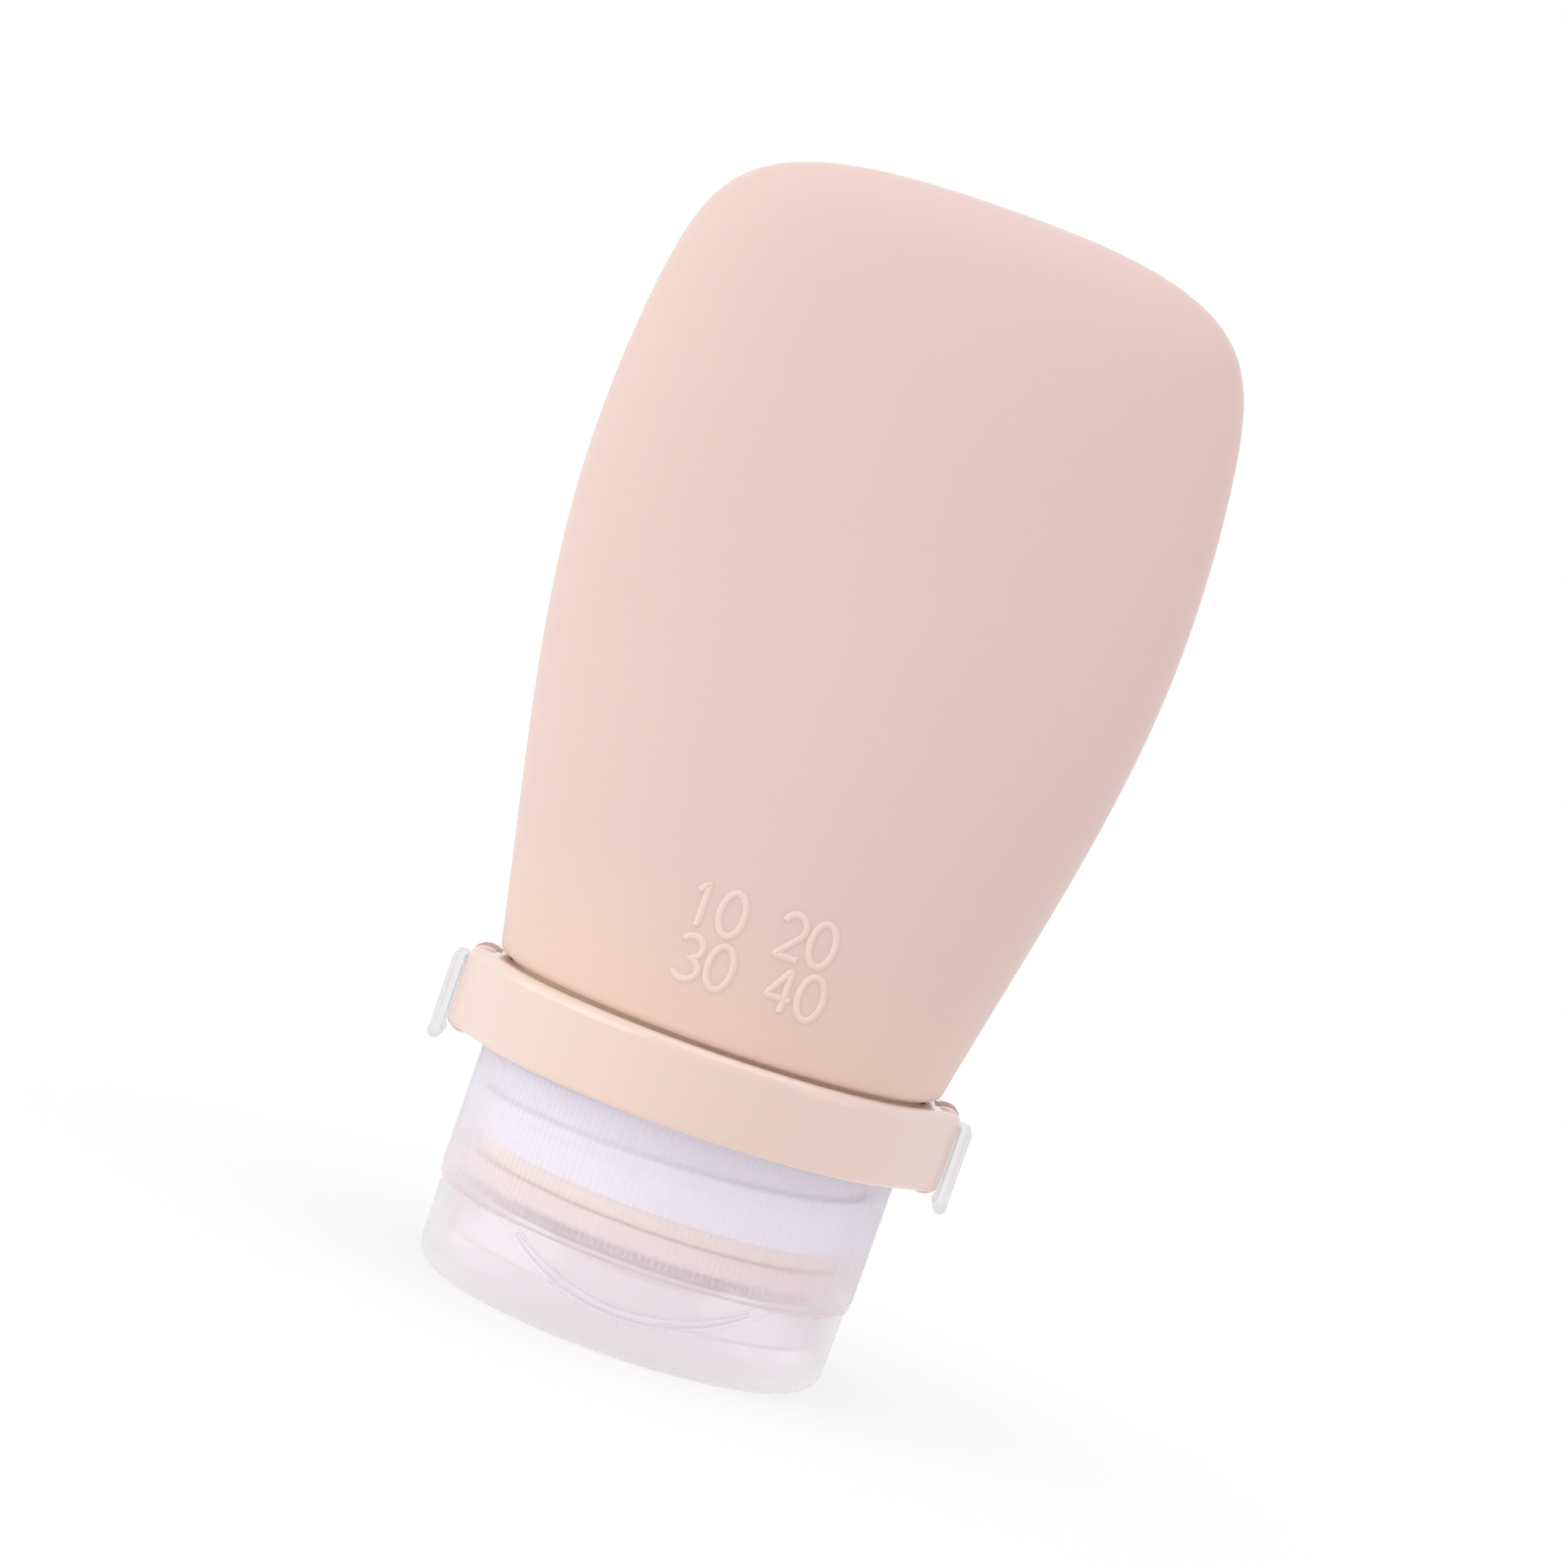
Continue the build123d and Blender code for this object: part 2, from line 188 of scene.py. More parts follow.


# The finishes. A zone paints light over a finish by height, and is the height where
# its colour is full, the height where it has faded out, and the colour.
looks = {
    "bodySilicone": {
        "colour": srgb(226, 198, 192), "cloudColour": srgb(223, 195, 189),
        "paintedLightZones": [
            # painted glow: a deeper peach low on the body, standing in for warm light bounced from the
            # collar into the silicone
            (28 * mm, 42 * mm, srgb(230, 198, 186)),
            # painted light: the neck and lip inside the cap made paler, where the cap's shade falls on them
            (20 * mm, 27 * mm, srgb(252, 224, 204)),
        ],
        "roughness": (0.5, 0.58), "grainScale": 2200, "cloudScale": 45,
        "bumpStrength": 0.25, "bumpDistance": 0.02 * mm,
        "constants": {"IOR": 1.41, "Subsurface Weight": 0.25, "Subsurface Scale": 1.5 * mm,
                      "Subsurface Radius": (1.0, 0.5, 0.4), "Sheen Weight": 0.45,
                      "Sheen Roughness": 0.4, "Sheen Tint": srgb(255, 250, 240)},
    },
    # the numerals' silicone, a lighter copy of the body's: a painted highlight on the raised strokes
    "markSiliconePaintedHighlight": {
        "colour": srgb(236, 207, 199), "cloudColour": srgb(233, 204, 196),
        "roughness": (0.46, 0.54), "grainScale": 2200, "cloudScale": 45,
        "bumpStrength": 0.1, "bumpDistance": 0.01 * mm,
        "constants": {"IOR": 1.41, "Sheen Weight": 0.25, "Sheen Roughness": 0.4},
    },
    "sealSilicone": {
        "colour": srgb(244, 216, 213), "cloudColour": srgb(240, 211, 209),
        "roughness": (0.4, 0.48), "grainScale": 2200, "cloudScale": 90,
        "bumpStrength": 0.2, "bumpDistance": 0.02 * mm,
        "constants": {"IOR": 1.41},
    },
    "collarPlastic": {
        "colour": srgb(233, 208, 198), "cloudColour": srgb(230, 205, 195),
        "roughness": (0.34, 0.42), "grainScale": 2600, "cloudScale": 70,
        "bumpStrength": 0.12, "bumpDistance": 0.01 * mm,
        "constants": {"IOR": 1.47, "Subsurface Weight": 0.2, "Subsurface Scale": 1.0 * mm,
                      "Subsurface Radius": (1.0, 0.5, 0.4), "Coat Weight": 1.0,
                      "Coat Roughness": 0.1},
    },
    "capPlastic": {
        "colour": srgb(250, 243, 252), "cloudColour": srgb(247, 240, 249),
        # painted glow: the cap pinker low down, standing in for the pink seals' light seen through the wall
        "paintedLightZones": [(11 * mm, 14 * mm, srgb(250, 239, 245))],
        "roughness": (0.36, 0.44), "grainScale": 1800, "cloudScale": 120,
        "bumpStrength": 0.1, "bumpDistance": 0.01 * mm, "lightAlpha": 0.1,
        "constants": {"IOR": 1.08, "Alpha": 0.6, "Transmission Weight": 0.5,
                      "Coat Weight": 0.6, "Coat Roughness": 0.1},
    },
    "lidPlastic": {
        "colour": srgb(254, 248, 254), "cloudColour": srgb(252, 246, 252),
        "roughness": (0.36, 0.44), "grainScale": 1800, "cloudScale": 120,
        "bumpStrength": 0.1, "bumpDistance": 0.01 * mm, "lightAlpha": 0.1,
        "constants": {"IOR": 1.08, "Alpha": 0.48, "Transmission Weight": 0.8,
                      "Coat Weight": 0.6, "Coat Roughness": 0.15},
    },
    "lipPlastic": {
        "colour": srgb(250, 248, 253), "cloudColour": srgb(247, 244, 251),
        "roughness": (0.16, 0.22), "grainScale": 1800, "cloudScale": 120,
        "bumpStrength": 0.05, "bumpDistance": 0.01 * mm, "lightAlpha": 0.2,
        "constants": {"IOR": 1.45, "Alpha": 0.85, "Transmission Weight": 0.85},
    },
    "gatePlastic": {
        "colour": srgb(246, 246, 250), "cloudColour": srgb(240, 240, 246),
        "roughness": (0.3, 0.38), "grainScale": 1800, "cloudScale": 200,
        "bumpStrength": 0.05, "bumpDistance": 0.01 * mm,
        "constants": {"IOR": 1.3, "Alpha": 0.7, "Transmission Weight": 0.75},
    },
    "sleevePlastic": {
        "colour": srgb(245, 247, 255), "cloudColour": srgb(242, 244, 255),
        # painted reflection: the sleeve's top made peach, so the shaded gap above the collar shows the
        # silicone's warm bounced light
        "paintedLightZones": [(27.6 * mm, 26.6 * mm, srgb(255, 226, 206))],
        "roughness": (0.3, 0.38), "grainScale": 1800, "cloudScale": 120,
        "bumpStrength": 0.1, "bumpDistance": 0.01 * mm,
        "constants": {"IOR": 1.3},
    },
    "ribPlastic": {
        "colour": srgb(248, 245, 252), "cloudColour": srgb(244, 240, 250),
        "roughness": (0.2, 0.28), "grainScale": 1800, "cloudScale": 120,
        "bumpStrength": 0.1, "bumpDistance": 0.01 * mm,
        "constants": {"IOR": 1.49, "Alpha": 0.12},
    },
}
materials = {name: makeMaterial(name, look) for name, look in looks.items()}
print("materials made:", len(materials))

nodeFinishes = {
    "neck_sleeve": "sleevePlastic",
    "loop_collar": "collarPlastic",
    "gate_left": "gatePlastic",
    "gate_right": "gatePlastic",
    "cap_shell": "capPlastic",
    "valve_retainer": "sleevePlastic",
    "flip_lid": "lidPlastic",
}
for node, finish in nodeFinishes.items():
    mesh = nodes[node].data
    mesh.materials.clear()
    mesh.materials.append(materials[finish])
print("moulded parts finished:", len(nodeFinishes))


# Helpers for the pieces' meshes.

def shadeSmooth(mesh):
    mesh.polygons.foreach_set("use_smooth", [True] * len(mesh.polygons))


def makeObject(name, vertices, faces, material):
    mesh = bpy.data.meshes.new(name)
    mesh.from_pydata([Vector(v) * mm for v in vertices], [], faces)
    mesh.materials.append(material)
    shadeSmooth(mesh)
    mesh.update()
    return addObject(name, mesh)


def meshFrom(source, name):
    # the plain mesh of a curve, or of an object with its modifiers
    bpy.context.view_layer.update()
    graph = bpy.context.evaluated_depsgraph_get()
    mesh = bpy.data.meshes.new_from_object(source.evaluated_get(graph))
    mesh.name = name
    return mesh


def startBead(name, radius, roundness):
    # a curve that becomes a round bead along its splines
    data = bpy.data.curves.new(name, "CURVE")
    data.dimensions = "3D"
    data.bevel_depth = radius * mm
    data.bevel_resolution = roundness
    data.use_fill_caps = True
    return data


def finishBead(name, data, material):
    source = addObject(name + "Curve", data)
    mesh = meshFrom(source, name)
    bpy.data.objects.remove(source)
    mesh.materials.clear()
    mesh.materials.append(material)
    shadeSmooth(mesh)
    return addObject(name, mesh)


def roundRing(radius, height):
    return (radius, radius, height)


def skinRings(rings, segments, closed):
    # rings of (across, deep, height); one with no width is a pole, and closed joins the last to the first
    vertices = []
    starts = []
    for across, deep, height in rings:
        starts.append(len(vertices))
        if across == 0:
            vertices.append((0, 0, height))
            continue
        for step in range(segments):
            angle = 2 * math.pi * step / segments
            vertices.append((across * math.cos(angle), deep * math.sin(angle), height))
    faces = []
    pairs = list(zip(range(len(rings)), range(1, len(rings))))
    if closed:
        pairs.append((len(rings) - 1, 0))
    for lower, upper in pairs:
        low, high = starts[lower], starts[upper]
        for step in range(segments):
            after = (step + 1) % segments
            if rings[lower][0] == 0:
                faces.append((low, high + after, high + step))
            elif rings[upper][0] == 0:
                faces.append((low + step, low + after, high))
            else:
                faces.append((low + step, low + after, high + after, high + step))
    return vertices, faces


def roundedLoop(corners, steps):
    # rings round a section whose corners are (radius, height, rounding), listed anticlockwise
    rings = []
    count = len(corners)
    for index, (radius, height, rounding) in enumerate(corners):
        here = Vector((radius, height))
        before = Vector(corners[index - 1][:2])
        after = Vector(corners[(index + 1) % count][:2])
        toBefore = (before - here).normalized() * rounding
        toAfter = (after - here).normalized() * rounding
        for step in range(steps + 1):
            share = step / steps
            point = here + toBefore * (1 - share) ** 2 + toAfter * share ** 2
            rings.append(roundRing(point.x, point.y))
    return rings


# The soft body: a hollow shell whose round mouth flares and flattens into a wide end, and
# goes on inside the cap as a neck with a lip.
squeezeBody = {
    "mouthRadius": 20.45,
    "halfWidth": 27.65,
    "endHalfWidth": 23.8,
    "endHalfDepth": 8.4,
    "low": 28.0,
    "wall": 2.0,
    "footRounding": 0.8,
    "widest": 0.6,
    "flare": 1.25,
    "thinning": 1.35,
    "closes": 0.5,
    "widthClosing": (11.5, 0.38),
    "depthClosing": (7.8, 0.46),
    "neckRadius": 15.2,
    "neckBore": 13.2,
    "neckRounding": 0.3,
    "throatFlare": 0.6,
    "throatTop": 0.3,
    "throatDepth": 1.2,
    "lipRadius": 16.6,
    "lipLow": 11.0,
    "lipHigh": 12.6,
    "lipRounding": 0.4,
    "lipRoundingMiddle": 0.12,
    "lipEdge": 0.1,
    "segments": 176,
    "wallRings": 44,
    "endRings": 46,
    "endCrowding": 2.6,
    "footSteps": 6,
    "footGap": 0.1,
}


def bodyOutline(share, inset):
    # half the width and half the depth at a share of the height, a wall's thickness further in
    body = squeezeBody
    base = body["mouthRadius"] - inset
    half = body["halfWidth"] - inset
    endHalf = body["endHalfWidth"] - inset
    endDepth = body["endHalfDepth"] - inset
    flare = min(1, share / body["widest"])
    taper = max(0, share - body["widest"]) / (1 - body["widest"])
    pull = body["flare"]
    widened = pull * flare + (3 - 2 * pull) * flare ** 2 + (pull - 2) * flare ** 3
    across = base + (half - base) * widened + (endHalf - half) * taper ** 2
    deep = endDepth + (base - endDepth) * (1 - share) ** body["thinning"]
    closed = max(0, share - body["closes"]) / (1 - body["closes"])
    squareness, roundness = body["widthClosing"]
    across *= (1 - closed ** squareness) ** roundness
    squareness, roundness = body["depthClosing"]
    deep *= (1 - closed ** squareness) ** roundness
    return across, deep


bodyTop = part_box("squeeze_body")[1].z / mm


def bodyAt(height):
    low = squeezeBody["low"]
    return bodyOutline((height - low) / (bodyTop - low), 0)


def bodyShell(inset, foot, crown):
    # rings from the foot to the pole, closer together where the end closes
    body = squeezeBody
    shares = [body["closes"] * step / body["wallRings"] for step in range(body["wallRings"])]
    for step in range(body["endRings"]):
        closing = 1 - (1 - step / body["endRings"]) ** body["endCrowding"]
        shares.append(body["closes"] + (1 - body["closes"]) * closing)
    rings = []
    for share in shares:
        across, deep = bodyOutline(share, inset)
        rings.append((across, deep, foot + (crown - foot) * share))
    rings.append((0, 0, crown))
    return rings


def bodyFoot():
    body = squeezeBody
    rounding = body["footRounding"]
    rings = []
    for step in range(body["footSteps"] + 1):
        angle = math.pi / 2 * step / body["footSteps"]
        height = body["low"] + rounding * (1 - math.cos(angle))
        across, deep = bodyAt(height)
        drawn = rounding * (1 - math.sin(angle))
        rings.append((across - drawn, deep - drawn, height))
    return rings


def bodyNeck():
    # down the bore from the cavity, round the lip, and up the neck's outside to the foot
    body = squeezeBody
    low, cavityLow = body["low"], body["low"] + body["wall"]
    bore, neck = body["neckBore"], body["neckRadius"]
    lip, lipLow, lipHigh = body["lipRadius"], body["lipLow"], body["lipHigh"]
    rounding, middle, edge = body["lipRounding"], body["lipRoundingMiddle"], body["lipEdge"]
    return [
        roundRing(bore + body["throatFlare"], cavityLow - body["throatTop"]),
        roundRing(bore, cavityLow - body["throatDepth"]),
        roundRing(bore, lipLow + rounding),
        roundRing(bore + middle, lipLow + middle),
        roundRing(bore + rounding, lipLow),
        roundRing(lip - rounding, lipLow),
        roundRing(lip - middle, lipLow + middle),
        roundRing(lip, lipLow + rounding),
        roundRing(lip, lipHigh - edge),
        roundRing(lip - edge, lipHigh),
        roundRing(neck + edge, lipHigh),
        roundRing(neck, lipHigh + edge),
        roundRing(neck, low - body["neckRounding"]),
        roundRing(neck + body["neckRounding"], low),
    ]


def makeSqueezeBody():
    body = squeezeBody
    low, wall = body["low"], body["wall"]
    inner = bodyShell(wall, low + wall, bodyTop - wall)
    inner.reverse()
    footTop = low + body["footRounding"] + body["footGap"]
    outer = [ring for ring in bodyShell(0, low, bodyTop) if ring[2] > footTop]
    rings = inner + bodyNeck() + bodyFoot() + outer
    vertices, faces = skinRings(rings, body["segments"], False)
    made = makeObject("squeezeBody", vertices, faces, materials["bodySilicone"])
    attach(made, "bottle")
    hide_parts("squeeze_body")


makeSqueezeBody()
print("soft body made")


# The two soft seals inside the cap: the ring on the deck, and the valve with crossed slits.
neckGasket = {
    "outer": 17.2, "inner": 10.9, "low": 9.26, "high": 10.94, "rounding": 0.3,
    "roundingSteps": 5, "segments": 128,
}
slitValve = {
    "flangeRadius": 9.7, "flangeLow": 9.2, "flangeHigh": 10.4, "tubeRadius": 6.9, "tubeInner": 5.8,
    "low": 7.9, "skin": 0.7, "dish": 0.9, "domeRadii": (4.8, 3.6, 2.4, 1.2),
    "rounding": 0.3, "innerRounding": 0.2, "flangeRounding": 0.15, "innerRise": 0.1,
    "slitWidth": 0.2, "slitReach": 4.1, "sharpAngle": math.radians(40),
    "roundingSteps": 4, "segments": 96,
}


def makeNeckGasket():
    gasket = neckGasket
    corners = [
        (gasket["inner"], gasket["low"], gasket["rounding"]),
        (gasket["outer"], gasket["low"], gasket["rounding"]),
        (gasket["outer"], gasket["high"], gasket["rounding"]),
        (gasket["inner"], gasket["high"], gasket["rounding"]),
    ]
    rings = roundedLoop(corners, gasket["roundingSteps"])
    vertices, faces = skinRings(rings, gasket["segments"], True)
    made = makeObject("neckGasket", vertices, faces, materials["sealSilicone"])
    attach(made, "seal")
    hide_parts("neck_gasket")


def makeSlitBlade():
    # a cross whose arms are as wide and as long as the slits
    valve = slitValve
    half, reach = valve["slitWidth"] / 2, valve["slitReach"]
    low, high = valve["low"] - valve["dish"], valve["flangeHigh"] + valve["dish"]
    outline = []
    for turn in range(4):
        angle = math.pi / 2 * turn
        for across, along in ((reach, -half), (reach, half), (half, half)):
            outline.append((across * math.cos(angle) - along * math.sin(angle),
                            across * math.sin(angle) + along * math.cos(angle)))
    count = len(outline)
    vertices = [(x, y, low) for x, y in outline] + [(x, y, high) for x, y in outline]
    faces = [list(range(count - 1, -1, -1)), list(range(count, 2 * count))]
    for step in range(count):
        after = (step + 1) % count
        faces.append([step, after, count + after, count + step])
    return makeObject("slitBlade", vertices, faces, materials["sealSilicone"])


def cutSlits(made):
    blade = makeSlitBlade()
    cut = made.modifiers.new("slits", "BOOLEAN")
    cut.operation = "DIFFERENCE"
    cut.object = blade
    mesh = meshFrom(made, "slitValve")
    made.modifiers.clear()
    made.data = mesh
    mesh.set_sharp_from_angle(angle=slitValve["sharpAngle"])
    bpy.data.objects.remove(blade)


def makeSlitValve():
    valve = slitValve
    crown = valve["low"] + valve["dish"]
    rounding, innerRounding = valve["rounding"], valve["innerRounding"]
    lower = []
    for radius in valve["domeRadii"]:
        rise = valve["dish"] * (1 - (radius / valve["tubeInner"]) ** 2)
        lower.append(roundRing(radius, valve["low"] + rise))
    upper = [roundRing(radius, height + valve["skin"]) for radius, _, height in reversed(lower)]
    flange = [
        (valve["tubeInner"], valve["low"] + valve["skin"] + valve["innerRise"], innerRounding),
        (valve["tubeInner"], valve["flangeHigh"], rounding),
        (valve["flangeRadius"], valve["flangeHigh"], rounding),
        (valve["flangeRadius"], valve["flangeLow"], rounding),
        (valve["tubeRadius"], valve["flangeLow"], valve["flangeRounding"]),
        (valve["tubeRadius"], valve["low"], rounding),
        (valve["tubeInner"], valve["low"], innerRounding),
    ]
    wall = roundedLoop(flange, valve["roundingSteps"])[1:-1]
    rings = [(0, 0, crown + valve["skin"])] + upper + wall + lower + [(0, 0, crown)]
    vertices, faces = skinRings(rings, valve["segments"], False)
    made = makeObject("slitValve", vertices, faces, materials["sealSilicone"])
    made.data.flip_normals()
    cutSlits(made)
    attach(made, "cap")
    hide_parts("slit_valve")


makeNeckGasket()
makeSlitValve()
print("seals made")


# Raised plain numerals low on the front of the body. A row is its text, its left edge and
# its base line.
fillMarks = {
    "rows": [("10 20", -5.8, 37.0), ("30 40", -5.3, 32.5)],
    "height": 3.7,
    "width": 2.1,
    "pitch": 2.65,
    "strokeRadius": 0.38,
    "strokeRoundness": 3,
    "strokeStep": 0.12,
    "joinGap": 0.01,
    "sunk": 0.22,
}


def arcPoints(centreX, centreY, radiusX, radiusY, fromDegrees, toDegrees, steps):
    points = []
    for step in range(steps + 1):
        angle = math.radians(fromDegrees + (toDegrees - fromDegrees) * step / steps)
        points.append((centreX + radiusX * math.cos(angle), centreY + radiusY * math.sin(angle)))
    return points


# each numeral as strokes in a cell one unit high and wide
numeralStrokes = {
    "0": [arcPoints(0.5, 0.5, 0.5, 0.5, 90, 450, 28)],
    "1": [[(0.2, 0.78), (0.55, 1.0), (0.55, 0.0)]],
    "2": [arcPoints(0.5, 0.7, 0.46, 0.3, 165, -38, 14) + [(0.03, 0.0), (0.97, 0.0)]],
    "3": [arcPoints(0.45, 0.75, 0.45, 0.25, 155, -90, 14)
          + arcPoints(0.45, 0.25, 0.5, 0.25, 90, -155, 16)[1:]],
    "4": [[(0.75, 0.0), (0.75, 1.0), (0.0, 0.3), (1.0, 0.3)]],
}


def refineStroke(points):
    # more points along each run, so that the stroke follows the body's curve
    fine = [points[0]]
    for start, end in zip(points, points[1:]):
        length = (Vector(end) - Vector(start)).length
        parts = max(1, round(length / fillMarks["strokeStep"]))
        for part in range(1, parts + 1):
            share = part / parts
            fine.append((start[0] + (end[0] - start[0]) * share, start[1] + (end[1] - start[1]) * share))
    return fine


def layStroke(data, stroke, left, base):
    marks = fillMarks
    spline = data.splines.new("POLY")
    fine = refineStroke(stroke)
    if (Vector(fine[0]) - Vector(fine[-1])).length < marks["joinGap"]:
        fine = fine[:-1]
        spline.use_cyclic_u = True
    spline.points.add(len(fine) - 1)
    for point, (u, v) in zip(spline.points, fine):
        x = left + u * marks["width"]
        z = base + v * marks["height"]
        across, deep = bodyAt(z)
        y = -deep * math.sqrt(max(0, 1 - (x / across) ** 2)) + marks["sunk"]
        point.co = (x * mm, y * mm, z * mm, 1)


def makeFillMarks():
    marks = fillMarks
    data = startBead("fillMarks", marks["strokeRadius"], marks["strokeRoundness"])
    for text, left, base in marks["rows"]:
        for place, sign in enumerate(text):
            for stroke in numeralStrokes.get(sign, []):
                layStroke(data, stroke, left + place * marks["pitch"], base)
    made = finishBead("fillMarks", data, materials["markSiliconePaintedHighlight"])
    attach(made, "bottle")


makeFillMarks()
print("raised numerals made")


# Fine upright grip ribs round the cap's skirt, repeated by Geometry Nodes.
skirtRibs = {"radius": 19.02, "low": 8.7, "high": 20.0, "width": 0.34, "sides": 8, "count": 196}


def makeRibTree():
    tree = bpy.data.node_groups.new("ribRing", "GeometryNodeTree")
    kinds = {
        "Radius": "NodeSocketFloat", "Low": "NodeSocketFloat", "High": "NodeSocketFloat",
        "Width": "NodeSocketFloat", "Sides": "NodeSocketInt", "Count": "NodeSocketInt",
        "Material": "NodeSocketMaterial",
    }
    identifiers = {}
    for title, kind in kinds.items():
        socket = tree.interface.new_socket(name=title, in_out="INPUT", socket_type=kind)
        identifiers[title] = socket.identifier
    tree.interface.new_socket(name="Geometry", in_out="OUTPUT", socket_type="NodeSocketGeometry")
    start = addNode(tree, "NodeGroupInput").outputs
    ring = addNode(
        tree, "GeometryNodeMeshCircle", links={"Vertices": start["Count"], "Radius": start["Radius"]})
    lowPoint = addNode(tree, "ShaderNodeCombineXYZ", links={"Z": start["Low"]})
    highPoint = addNode(tree, "ShaderNodeCombineXYZ", links={"Z": start["High"]})
    rod = addNode(
        tree, "GeometryNodeCurvePrimitiveLine",
        links={"Start": lowPoint.outputs["Vector"], "End": highPoint.outputs["Vector"]})
    half = addNode(tree, "ShaderNodeMath", {"operation": "MULTIPLY"}, {1: 0.5}, {0: start["Width"]})
    section = addNode(
        tree, "GeometryNodeCurvePrimitiveCircle",
        links={"Resolution": start["Sides"], "Radius": half.outputs["Value"]})
    bar = addNode(
        tree, "GeometryNodeCurveToMesh", values={"Fill Caps": True},
        links={"Curve": rod.outputs["Curve"], "Profile Curve": section.outputs["Curve"]})
    spread = addNode(
        tree, "GeometryNodeInstanceOnPoints",
        links={"Points": ring.outputs["Mesh"], "Instance": bar.outputs["Mesh"]})
    real = addNode(tree, "GeometryNodeRealizeInstances", links={"Geometry": spread.outputs["Instances"]})
    smooth = addNode(tree, "GeometryNodeSetShadeSmooth", links={"Geometry": real.outputs["Geometry"]})
    paint = addNode(
        tree, "GeometryNodeSetMaterial",
        links={"Geometry": smooth.outputs["Geometry"], "Material": start["Material"]})
    addNode(tree, "NodeGroupOutput", links={"Geometry": paint.outputs["Geometry"]})
    return tree, identifiers


def makeSkirtRibs():
    ribs = skirtRibs
    tree, identifiers = makeRibTree()
    carrier = addObject("skirtRibsSource", bpy.data.meshes.new("skirtRibsSource"))
    modifier = carrier.modifiers.new("ribRing", "NODES")
    modifier.node_group = tree
    modifier[identifiers["Radius"]] = ribs["radius"] * mm
    modifier[identifiers["Low"]] = ribs["low"] * mm
    modifier[identifiers["High"]] = ribs["high"] * mm
    modifier[identifiers["Width"]] = ribs["width"] * mm
    modifier[identifiers["Sides"]] = ribs["sides"]
    modifier[identifiers["Count"]] = ribs["count"]
    modifier[identifiers["Material"]] = materials["ribPlastic"]
    mesh = meshFrom(carrier, "skirtRibs")
    bpy.data.objects.remove(carrier)
    made = addObject("skirtRibs", mesh)
    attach(made, "cap")


makeSkirtRibs()
print("grip ribs made")


# A rounded lip round the thumb scoop's edge, on the lid, drawn thinner at its two ends.
scoopLip = {
    "wallRadius": 18.35,
    "arcRadius": 19.35,
    "arcCentre": 23.3,
    "halfWidth": 10.4,
    "lipRadius": 0.35,
    "roundness": 4,
    "endShare": 0.5,
    "endCrowding": 8,
    "steps": 64,
}


def makeScoopLip():
    lip = scoopLip
    data = startBead("scoopLip", lip["lipRadius"], lip["roundness"])
    spline = data.splines.new("POLY")
    spline.points.add(lip["steps"])
    for step, point in enumerate(spline.points):
        turn = 2 * step / lip["steps"] - 1
        x = lip["halfWidth"] * turn
        z = lip["arcCentre"] - math.sqrt(lip["arcRadius"] ** 2 - x ** 2)
        y = -math.sqrt(lip["wallRadius"] ** 2 - x ** 2)
        point.co = (x * mm, y * mm, z * mm, 1)
        point.radius = 1 - (1 - lip["endShare"]) * turn ** lip["endCrowding"]
    made = finishBead("scoopLip", data, materials["lipPlastic"])
    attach(made, "lid")


makeScoopLip()
print("scoop lip made")


# The studio: a pale floor, white surroundings and broad soft lamps. A lamp is its name,
# place, size, power and colour.
studio = {
    "floorSize": 4.0,
    "floorDrop": 0.02 * mm,
    "floorColour": (0.97, 0.97, 0.97, 1),
    "shadowNear": 0.02,
    "shadowFar": 0.08,
    "shadowLight": 0.68,
    "fill": 0.66,
    "lamps": [
        ("keyLamp", (-0.75, -0.45, 0.4), 0.7, 2.8, (1.0, 1.0, 0.95)),
        ("rimLamp", (-0.9, 0.12, 0.22), 0.5, 0.8, (0.82, 1.0, 0.82)),
        ("topLamp", (0.1, -0.15, 0.95), 0.9, 2.6, (1.0, 0.99, 0.98)),
        ("sideLamp", (0.75, -0.35, 0.3), 0.6, 0.65, (1.0, 0.95, 0.94)),
    ],
    "aim": (0, 0, 0.05),
}


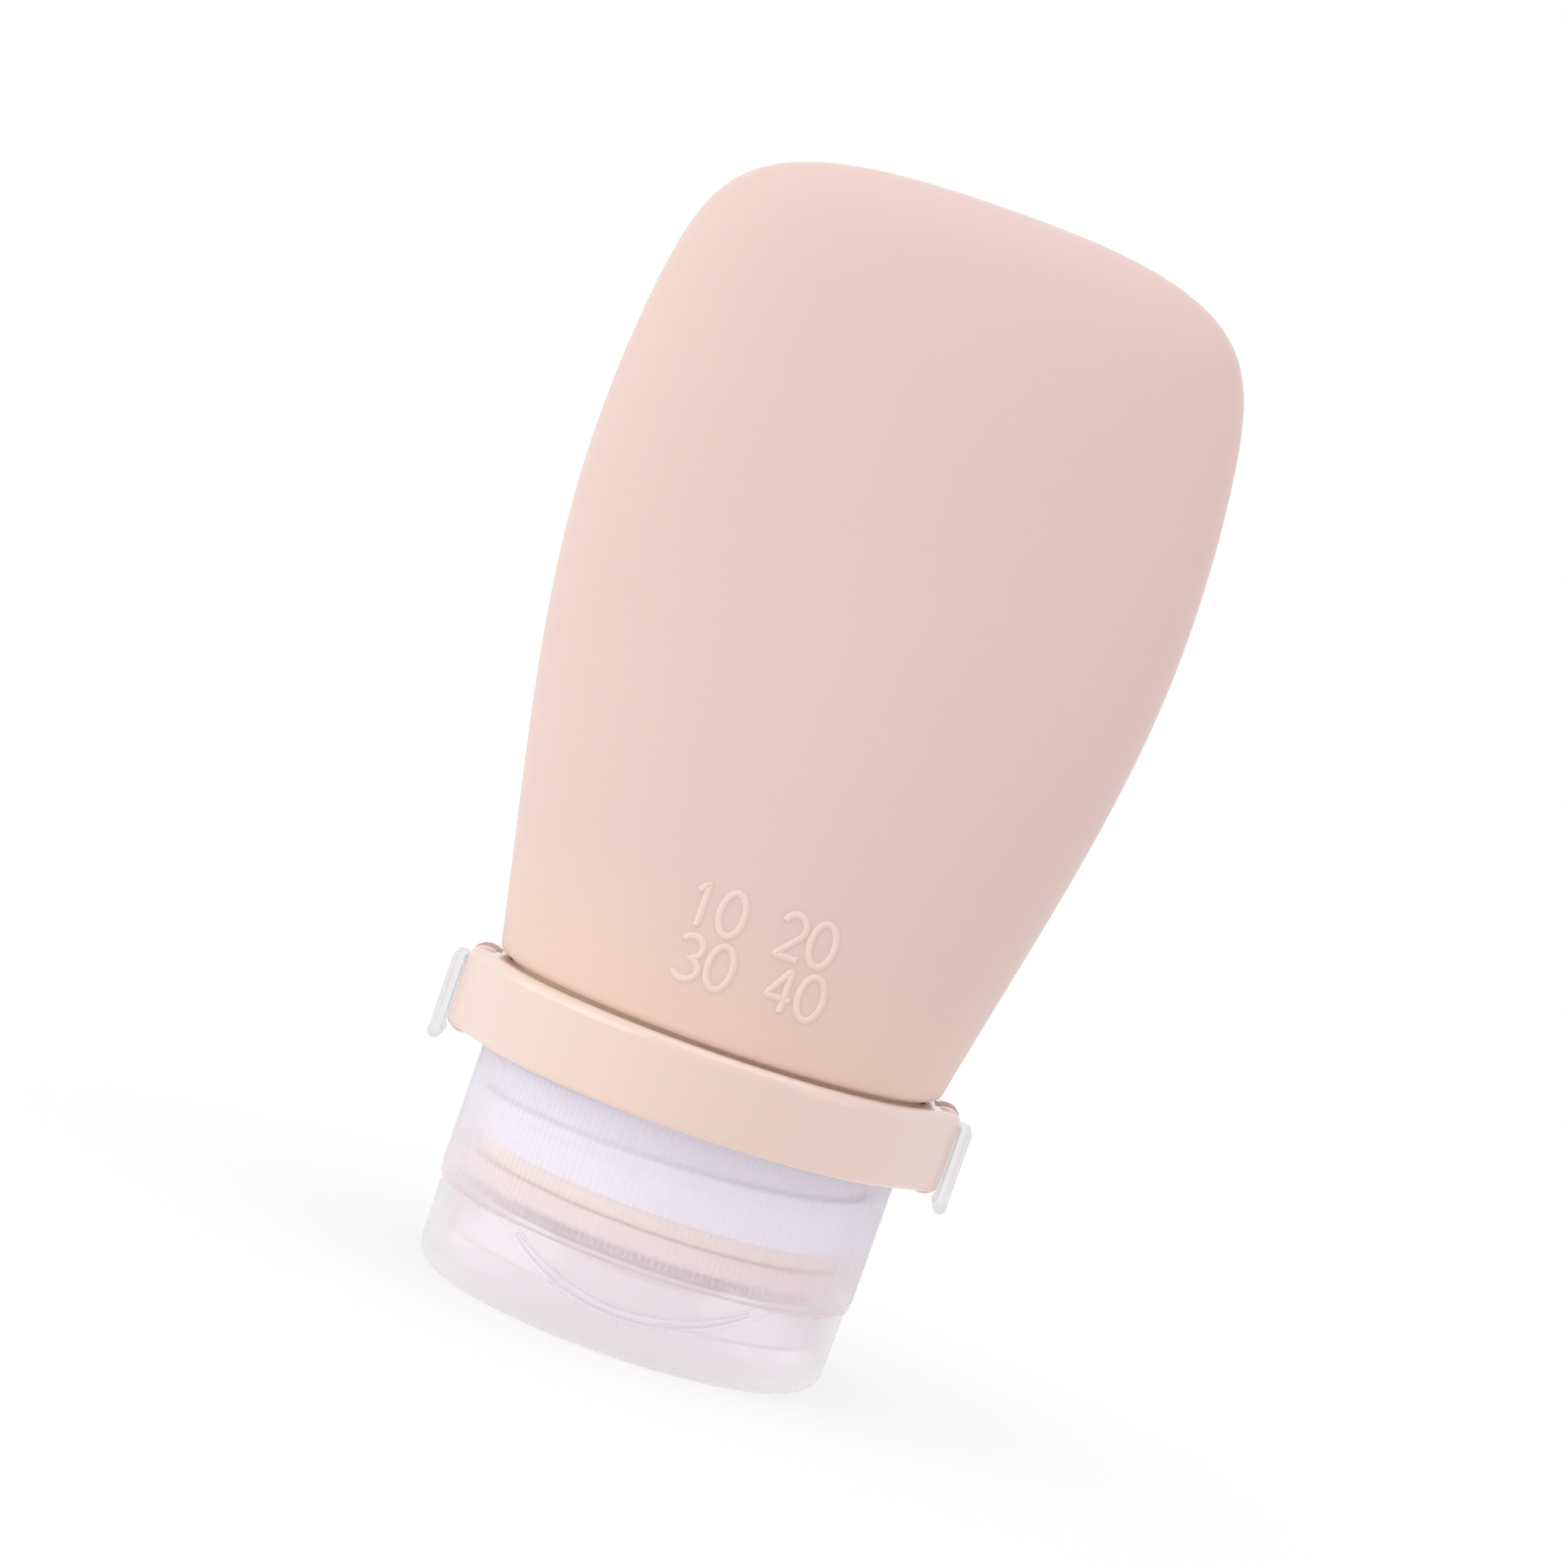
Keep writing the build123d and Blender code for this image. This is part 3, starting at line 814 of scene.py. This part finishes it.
def makeFloorMaterial():
    # the camera sees a white floor with a faint shadow near the bottle, and clear and shiny
    # faces see it plain white
    material = bpy.data.materials.new("studioFloor")
    material.use_nodes = True
    tree = material.node_tree
    tree.nodes.clear()
    pale = addNode(tree, "ShaderNodeBsdfDiffuse", values={"Color": studio["floorColour"]})
    glow = addNode(tree, "ShaderNodeEmission")
    coords = addNode(tree, "ShaderNodeTexCoord").outputs
    length = addNode(tree, "ShaderNodeVectorMath", {"operation": "LENGTH"}, links={0: coords["Object"]})
    fade = addNode(
        tree, "ShaderNodeMapRange", {"interpolation_type": "SMOOTHSTEP"},
        {"From Min": studio["shadowNear"], "From Max": studio["shadowFar"], "To Min": studio["shadowLight"]},
        {"Value": length.outputs["Value"]})
    rays = addNode(tree, "ShaderNodeLightPath").outputs
    seen = addNode(
        tree, "ShaderNodeMath", {"operation": "MULTIPLY"},
        links={0: rays["Is Camera Ray"], 1: fade.outputs["Result"]})
    mirrored = larger(tree, rays["Is Glossy Ray"], rays["Is Transmission Ray"])
    white = larger(tree, seen.outputs["Value"], mirrored)
    mix = addNode(
        tree, "ShaderNodeMixShader",
        links={"Fac": white, 1: pale.outputs["BSDF"], 2: glow.outputs["Emission"]})
    addNode(tree, "ShaderNodeOutputMaterial", links={"Surface": mix.outputs["Shader"]})
    return material


def makeFloor():
    size, height = studio["floorSize"], -studio["floorDrop"]
    mesh = bpy.data.meshes.new("studioFloor")
    corners = [(-size, -size, height), (size, -size, height), (size, size, height), (-size, size, height)]
    mesh.from_pydata(corners, [], [(0, 1, 2, 3)])
    mesh.materials.append(makeFloorMaterial())
    floor = addObject("studioFloor", mesh)


def makeLamps():
    aim = Vector(studio["aim"])
    for name, place, size, power, colour in studio["lamps"]:
        data = bpy.data.lights.new(name, "AREA")
        data.size = size
        data.energy = power
        data.color = colour
        lamp = addObject(name, data)
        lamp.location = place
        lamp.rotation_euler = (aim - Vector(place)).to_track_quat("-Z", "Y").to_euler()


def makeWorld():
    # white where it is seen, directly or in clear and shiny faces, and a soft fill elsewhere
    world = bpy.data.worlds.new("studioWorld")
    bpy.context.scene.world = world
    world.use_nodes = True
    tree = world.node_tree
    tree.nodes.clear()
    colour = (1, 1, 1, 1)
    soft = addNode(tree, "ShaderNodeBackground", values={"Color": colour, "Strength": studio["fill"]})
    white = addNode(tree, "ShaderNodeBackground", values={"Color": colour})
    rays = addNode(tree, "ShaderNodeLightPath").outputs
    seen = larger(tree, rays["Is Camera Ray"], rays["Is Glossy Ray"])
    shown = larger(tree, seen, rays["Is Transmission Ray"])
    mix = addNode(
        tree, "ShaderNodeMixShader",
        links={"Fac": shown, 1: soft.outputs["Background"], 2: white.outputs["Background"]})
    addNode(tree, "ShaderNodeOutputWorld", links={"Surface": mix.outputs["Shader"]})


# The clear walls lie behind one another, so light passes many of them.
lightPasses = {
    "max_bounces": 24,
    "glossy_bounces": 16,
    "transmission_bounces": 24,
    "transparent_max_bounces": 24,
}

makeFloor()
makeLamps()
makeWorld()
bpy.context.scene.view_settings.view_transform = "Standard"
for title, passes in lightPasses.items():
    setattr(bpy.context.scene.cycles, title, passes)
print("studio made")

bpy.context.view_layer.update()
